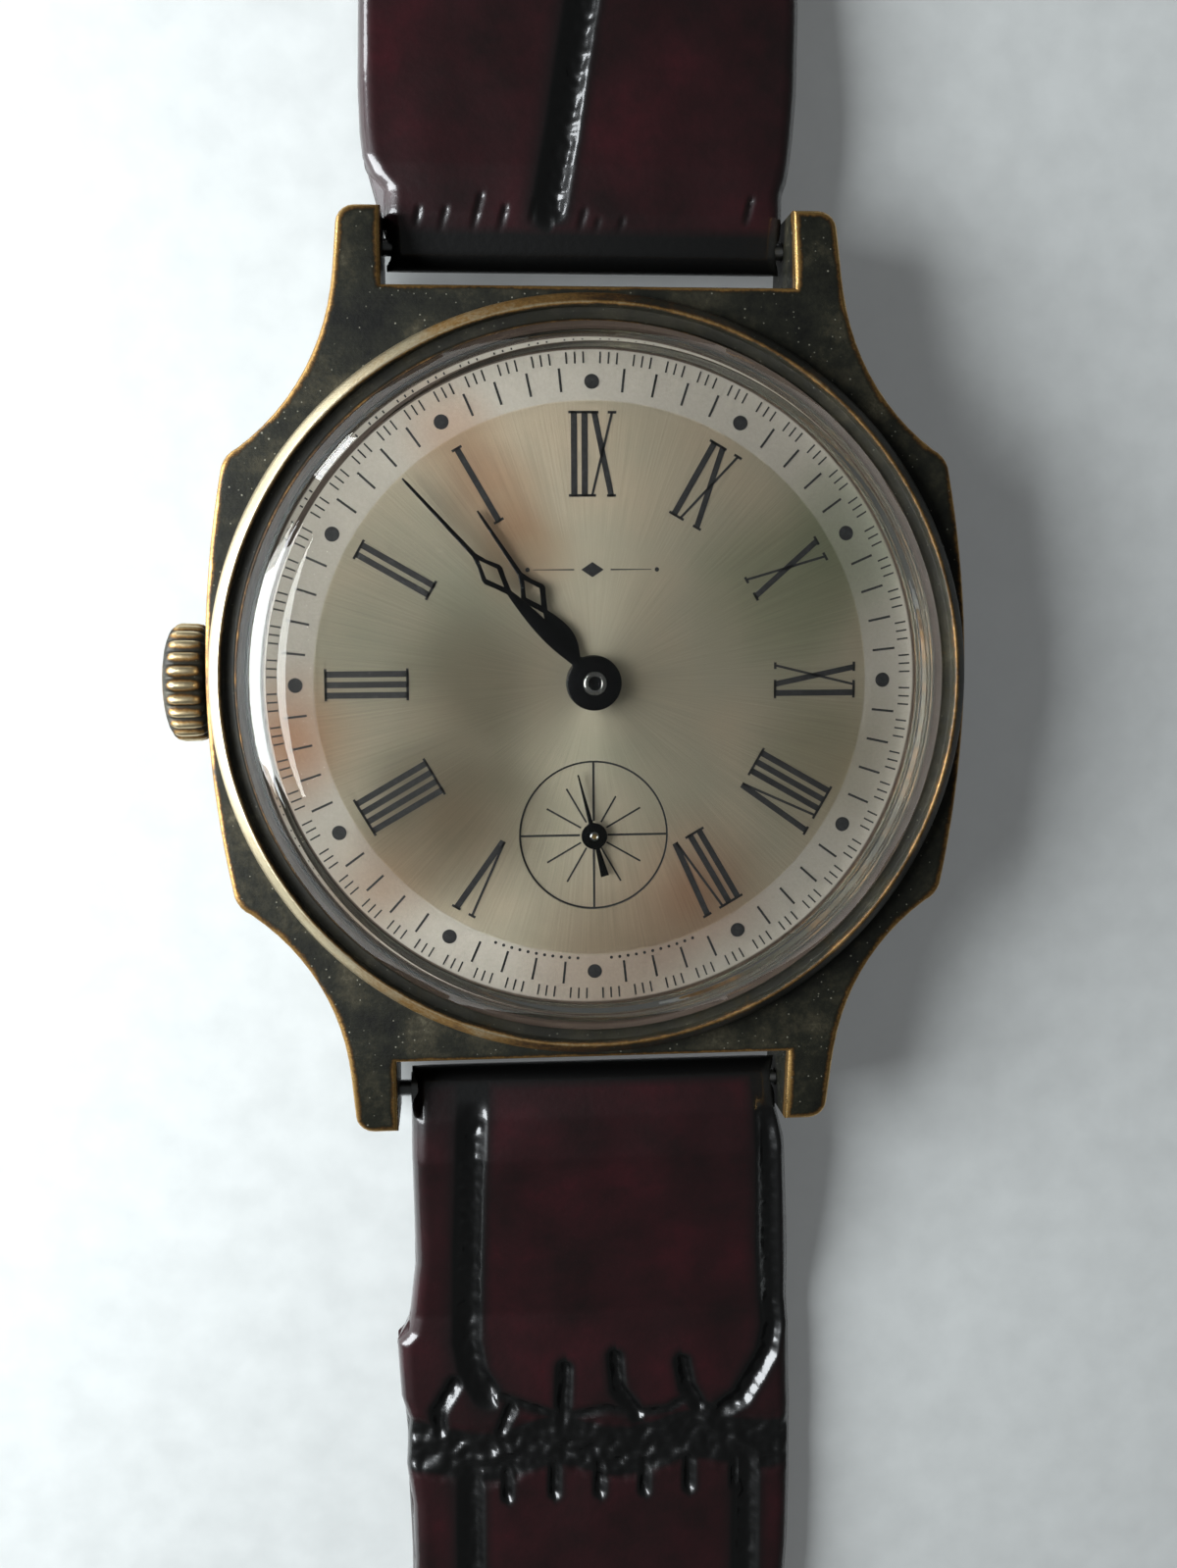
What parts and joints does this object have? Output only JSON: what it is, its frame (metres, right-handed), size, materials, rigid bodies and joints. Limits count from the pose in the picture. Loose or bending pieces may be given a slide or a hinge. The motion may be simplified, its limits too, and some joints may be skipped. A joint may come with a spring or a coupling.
{
  "type": "wristwatch",
  "caption": "Hand-wound wristwatch: lugged brass case, domed crystal, three hands, side crown, geared movement inside, and a buckled leather strap that flexes.",
  "frame": {"origin": "on the hands' axis, at the flat outer face of the case back", "axes": "+Z out of the dial, +Y to 12 o'clock along the strap, crown on the -X side"},
  "size_m": [0.036, 0.2324, 0.0093],
  "materials": {
    "patinated_brass": "dark patina worn to bright brass on the edges",
    "acrylic": "clear, polished",
    "silvered_dial": "silvered, fine brushed",
    "black_steel": "blued almost black, polished",
    "gilt_brass": "fine brushed",
    "nickel_plate": "rhodium grey, fine grained",
    "steel": "polished",
    "ruby": "polished",
    "patent_leather": "glossy, crocodile embossed",
    "buckle_metal": "polished, lightly worn"
  },
  "bodies": {
    "case": {"case_middle": "patinated_brass", "bezel": "patinated_brass", "crystal": "acrylic", "case_back": "patinated_brass", "crown_tube": "patinated_brass", "movement_ring": "gilt_brass", "dial": "silvered_dial", "main_plate": "nickel_plate", "barrel_bridge": "nickel_plate", "train_bridge": "nickel_plate", "pallet_bridge": "nickel_plate", "balance_cock": "nickel_plate", "movement_screws": "steel", "jewels": "ruby", "click_spring": "steel", "setting_bridge": "steel", "spring_bars": "steel"},
    "centre_wheel": {"centre_wheel": "gilt_brass"},
    "minute_hand": {"cannon_pinion": "steel", "minute_hand": "black_steel"},
    "hour_hand": {"hour_wheel": "gilt_brass", "hour_hand": "black_steel"},
    "minute_wheel": {"minute_wheel": "gilt_brass"},
    "third_wheel": {"third_wheel": "gilt_brass"},
    "seconds_hand": {"fourth_wheel": "gilt_brass", "seconds_hand": "black_steel"},
    "escape_wheel": {"escape_wheel": "steel"},
    "barrel": {"barrel_drum": "gilt_brass", "barrel_cover": "gilt_brass", "mainspring": "steel"},
    "barrel_arbor": {"barrel_arbor": "steel", "ratchet_wheel": "steel"},
    "crown_wheel": {"crown_wheel": "steel"},
    "click": {"click": "steel"},
    "pallet_fork": {"pallet_fork": "steel"},
    "balance": {"balance_wheel": "gilt_brass", "hairspring": "steel"},
    "regulator": {"regulator": "steel"},
    "winding_pinion": {"winding_pinion": "steel"},
    "clutch_pinion": {"clutch_pinion": "steel"},
    "crown": {"crown": "patinated_brass", "stem": "steel"},
    "setting_lever": {"setting_lever": "steel"},
    "yoke": {"yoke": "steel"},
    "bar_tip_12_left": {"bar_tip_12_left": "steel"},
    "bar_tip_12_right": {"bar_tip_12_right": "steel"},
    "bar_tip_6_left": {"bar_tip_6_left": "steel"},
    "bar_tip_6_right": {"bar_tip_6_right": "steel"},
    "strap_top_1": {"strap_top_1": "patent_leather"},
    "strap_top_2": {"strap_top_2": "patent_leather"},
    "strap_top_3": {"strap_top_3": "patent_leather", "fixed_keeper": "patent_leather"},
    "strap_bottom_1": {"strap_bottom_1": "patent_leather"},
    "strap_bottom_2": {"strap_bottom_2": "patent_leather"},
    "strap_bottom_3": {"strap_bottom_3": "patent_leather"},
    "strap_bottom_4": {"strap_bottom_4": "patent_leather"},
    "free_keeper": {"free_keeper": "patent_leather"},
    "buckle": {"buckle_frame": "buckle_metal", "buckle_bar": "buckle_metal"},
    "buckle_tang": {"buckle_tang": "buckle_metal"}
  },
  "joints": [
    {"name": "centre_turn", "type": "hinge", "parent": "case", "child": "centre_wheel", "pos_m": [0, 0, 0.0023], "axis": [0, 0, 1], "continuous": true},
    {"name": "minute_hand_turn", "type": "hinge", "parent": "case", "child": "minute_hand", "pos_m": [0, 0, 0.0068], "axis": [0, 0, 1], "continuous": true},
    {"name": "hour_hand_turn", "type": "hinge", "parent": "case", "child": "hour_hand", "pos_m": [0, 0, 0.0064], "axis": [0, 0, 1], "continuous": true},
    {"name": "minute_wheel_turn", "type": "hinge", "parent": "case", "child": "minute_wheel", "pos_m": [-0.00249, 0.00144, 0.0051], "axis": [0, 0, 1], "continuous": true},
    {"name": "third_turn", "type": "hinge", "parent": "case", "child": "third_wheel", "pos_m": [-0.00237, -0.00383, 0.003], "axis": [0, 0, 1], "continuous": true},
    {"name": "seconds_turn", "type": "hinge", "parent": "case", "child": "seconds_hand", "pos_m": [0, -0.00683, 0.0026], "axis": [0, 0, 1], "continuous": true},
    {"name": "escape_turn", "type": "hinge", "parent": "case", "child": "escape_wheel", "pos_m": [0.00305, -0.00507, 0.0033], "axis": [0, 0, 1], "continuous": true},
    {"name": "barrel_turn", "type": "hinge", "parent": "case", "child": "barrel", "pos_m": [-0.002, 0.0055, 0.003], "axis": [0, 0, 1], "continuous": true},
    {"name": "balance_swing", "type": "hinge", "parent": "case", "child": "balance", "pos_m": [0.0068, -0.0006, 0.0026], "axis": [0, 0, 1], "range_deg": [-270, 270]},
    {"name": "pallet_rock", "type": "hinge", "parent": "case", "child": "pallet_fork", "pos_m": [0.00482, -0.00296, 0.0033], "axis": [0, 0, 1], "range_deg": [-5.1, 5.1]},
    {"name": "regulator_turn", "type": "hinge", "parent": "case", "child": "regulator", "pos_m": [0.0068, -0.0006, 0.0011], "axis": [0, 0, 1], "range_deg": [-20, 20]},
    {"name": "winding_turn", "type": "hinge", "parent": "case", "child": "winding_pinion", "pos_m": [-0.0105, 0, 0.003], "axis": [1, 0, 0], "continuous": true},
    {"name": "clutch_slide", "type": "slide", "parent": "winding_pinion", "child": "clutch_pinion", "axis": [1, 0, 0], "range_m": [0, 0.00051]},
    {"name": "crown_pull", "type": "slide", "parent": "clutch_pinion", "child": "crown", "axis": [-1, 0, 0], "range_m": [0, 0.0014]},
    {"name": "setting_lever_turn", "type": "hinge", "parent": "case", "child": "setting_lever", "pos_m": [-0.012, 0.0022, 0.0051], "axis": [0, 0, -1], "range_deg": [0, 24.2]},
    {"name": "yoke_turn", "type": "hinge", "parent": "case", "child": "yoke", "pos_m": [-0.00895, -0.0032, 0.0051], "axis": [0, 0, -1], "range_deg": [0, 9]},
    {"name": "crown_wheel_turn", "type": "hinge", "parent": "case", "child": "crown_wheel", "pos_m": [-0.00753, 0, 0.0014], "axis": [0, 0, 1], "continuous": true},
    {"name": "ratchet_turn", "type": "hinge", "parent": "case", "child": "barrel_arbor", "pos_m": [-0.002, 0.0055, 0.0014], "axis": [0, 0, 1], "continuous": true},
    {"name": "click_lift", "type": "hinge", "parent": "case", "child": "click", "pos_m": [-0.0077, 0.00753, 0.0014], "axis": [0, 0, 1], "range_deg": [0, 4.5], "stiffness_Nm_per_rad": 0.00002},
    {"name": "bar_tip_12_left_press", "type": "slide", "parent": "case", "child": "bar_tip_12_left", "axis": [1, 0, 0], "range_m": [0, 0.00085], "stiffness_N_per_m": 200},
    {"name": "bar_tip_12_right_press", "type": "slide", "parent": "case", "child": "bar_tip_12_right", "axis": [-1, 0, 0], "range_m": [0, 0.00085], "stiffness_N_per_m": 200},
    {"name": "bar_tip_6_left_press", "type": "slide", "parent": "case", "child": "bar_tip_6_left", "axis": [1, 0, 0], "range_m": [0, 0.00085], "stiffness_N_per_m": 200},
    {"name": "bar_tip_6_right_press", "type": "slide", "parent": "case", "child": "bar_tip_6_right", "axis": [-1, 0, 0], "range_m": [0, 0.00085], "stiffness_N_per_m": 200},
    {"name": "lug_top", "type": "hinge", "parent": "case", "child": "strap_top_1", "pos_m": [0, 0.0192, 0.0031], "axis": [-1, 0, 0], "range_deg": [-20, 50]},
    {"name": "flex_top_1", "type": "hinge", "parent": "strap_top_1", "child": "strap_top_2", "pos_m": [0, 0.04, 0.0021], "axis": [-1, 0, 0], "range_deg": [-15, 30], "stiffness_Nm_per_rad": 0.02},
    {"name": "flex_top_2", "type": "hinge", "parent": "strap_top_2", "child": "strap_top_3", "pos_m": [0, 0.062, 0.0021], "axis": [-1, 0, 0], "range_deg": [-15, 30], "stiffness_Nm_per_rad": 0.02},
    {"name": "free_keeper_slide", "type": "slide", "parent": "strap_top_3", "child": "free_keeper", "axis": [0, 1, 0], "range_m": [-0.0085, 0.0046]},
    {"name": "buckle_turn", "type": "hinge", "parent": "strap_top_3", "child": "buckle", "pos_m": [0, 0.09, 0.0021], "axis": [1, 0, 0], "range_deg": [-45, 30]},
    {"name": "tang_turn", "type": "hinge", "parent": "buckle", "child": "buckle_tang", "pos_m": [0, 0.09, 0.0021], "axis": [1, 0, 0], "range_deg": [0, 75]},
    {"name": "lug_bottom", "type": "hinge", "parent": "case", "child": "strap_bottom_1", "pos_m": [0, -0.0192, 0.0031], "axis": [1, 0, 0], "range_deg": [-20, 45]},
    {"name": "flex_bottom_1", "type": "hinge", "parent": "strap_bottom_1", "child": "strap_bottom_2", "pos_m": [0, -0.042, 0.0011], "axis": [1, 0, 0], "range_deg": [-15, 30], "stiffness_Nm_per_rad": 0.02},
    {"name": "flex_bottom_2", "type": "hinge", "parent": "strap_bottom_2", "child": "strap_bottom_3", "pos_m": [0, -0.066, 0.0011], "axis": [1, 0, 0], "range_deg": [-15, 30], "stiffness_Nm_per_rad": 0.02},
    {"name": "flex_bottom_3", "type": "hinge", "parent": "strap_bottom_3", "child": "strap_bottom_4", "pos_m": [0, -0.09, 0.0011], "axis": [1, 0, 0], "range_deg": [-15, 30], "stiffness_Nm_per_rad": 0.02}
  ],
  "couplings": [
    {"joint": "minute_hand_turn", "follows": "centre_turn", "ratio": 1},
    {"joint": "minute_wheel_turn", "follows": "centre_turn", "ratio": -0.33333},
    {"joint": "hour_hand_turn", "follows": "centre_turn", "ratio": 0.083333},
    {"joint": "third_turn", "follows": "centre_turn", "ratio": -8},
    {"joint": "seconds_turn", "follows": "centre_turn", "ratio": 60},
    {"joint": "escape_turn", "follows": "centre_turn", "ratio": -600},
    {"joint": "barrel_turn", "follows": "centre_turn", "ratio": -0.125},
    {"joint": "pallet_rock", "follows": "balance_swing", "ratio": 0.018519},
    {"joint": "clutch_slide", "follows": "crown_pull", "ratio": 0.35714},
    {"joint": "setting_lever_turn", "follows": "crown_pull", "rad_per_m": 301.07},
    {"joint": "yoke_turn", "follows": "crown_pull", "rad_per_m": 111.95},
    {"joint": "crown_wheel_turn", "follows": "winding_turn", "ratio": -0.53333},
    {"joint": "ratchet_turn", "follows": "winding_turn", "ratio": 0.33333},
    {"joint": "flex_top_2", "follows": "flex_top_1", "ratio": 1},
    {"joint": "flex_bottom_2", "follows": "flex_bottom_1", "ratio": 1},
    {"joint": "flex_bottom_3", "follows": "flex_bottom_1", "ratio": 1}
  ]
}
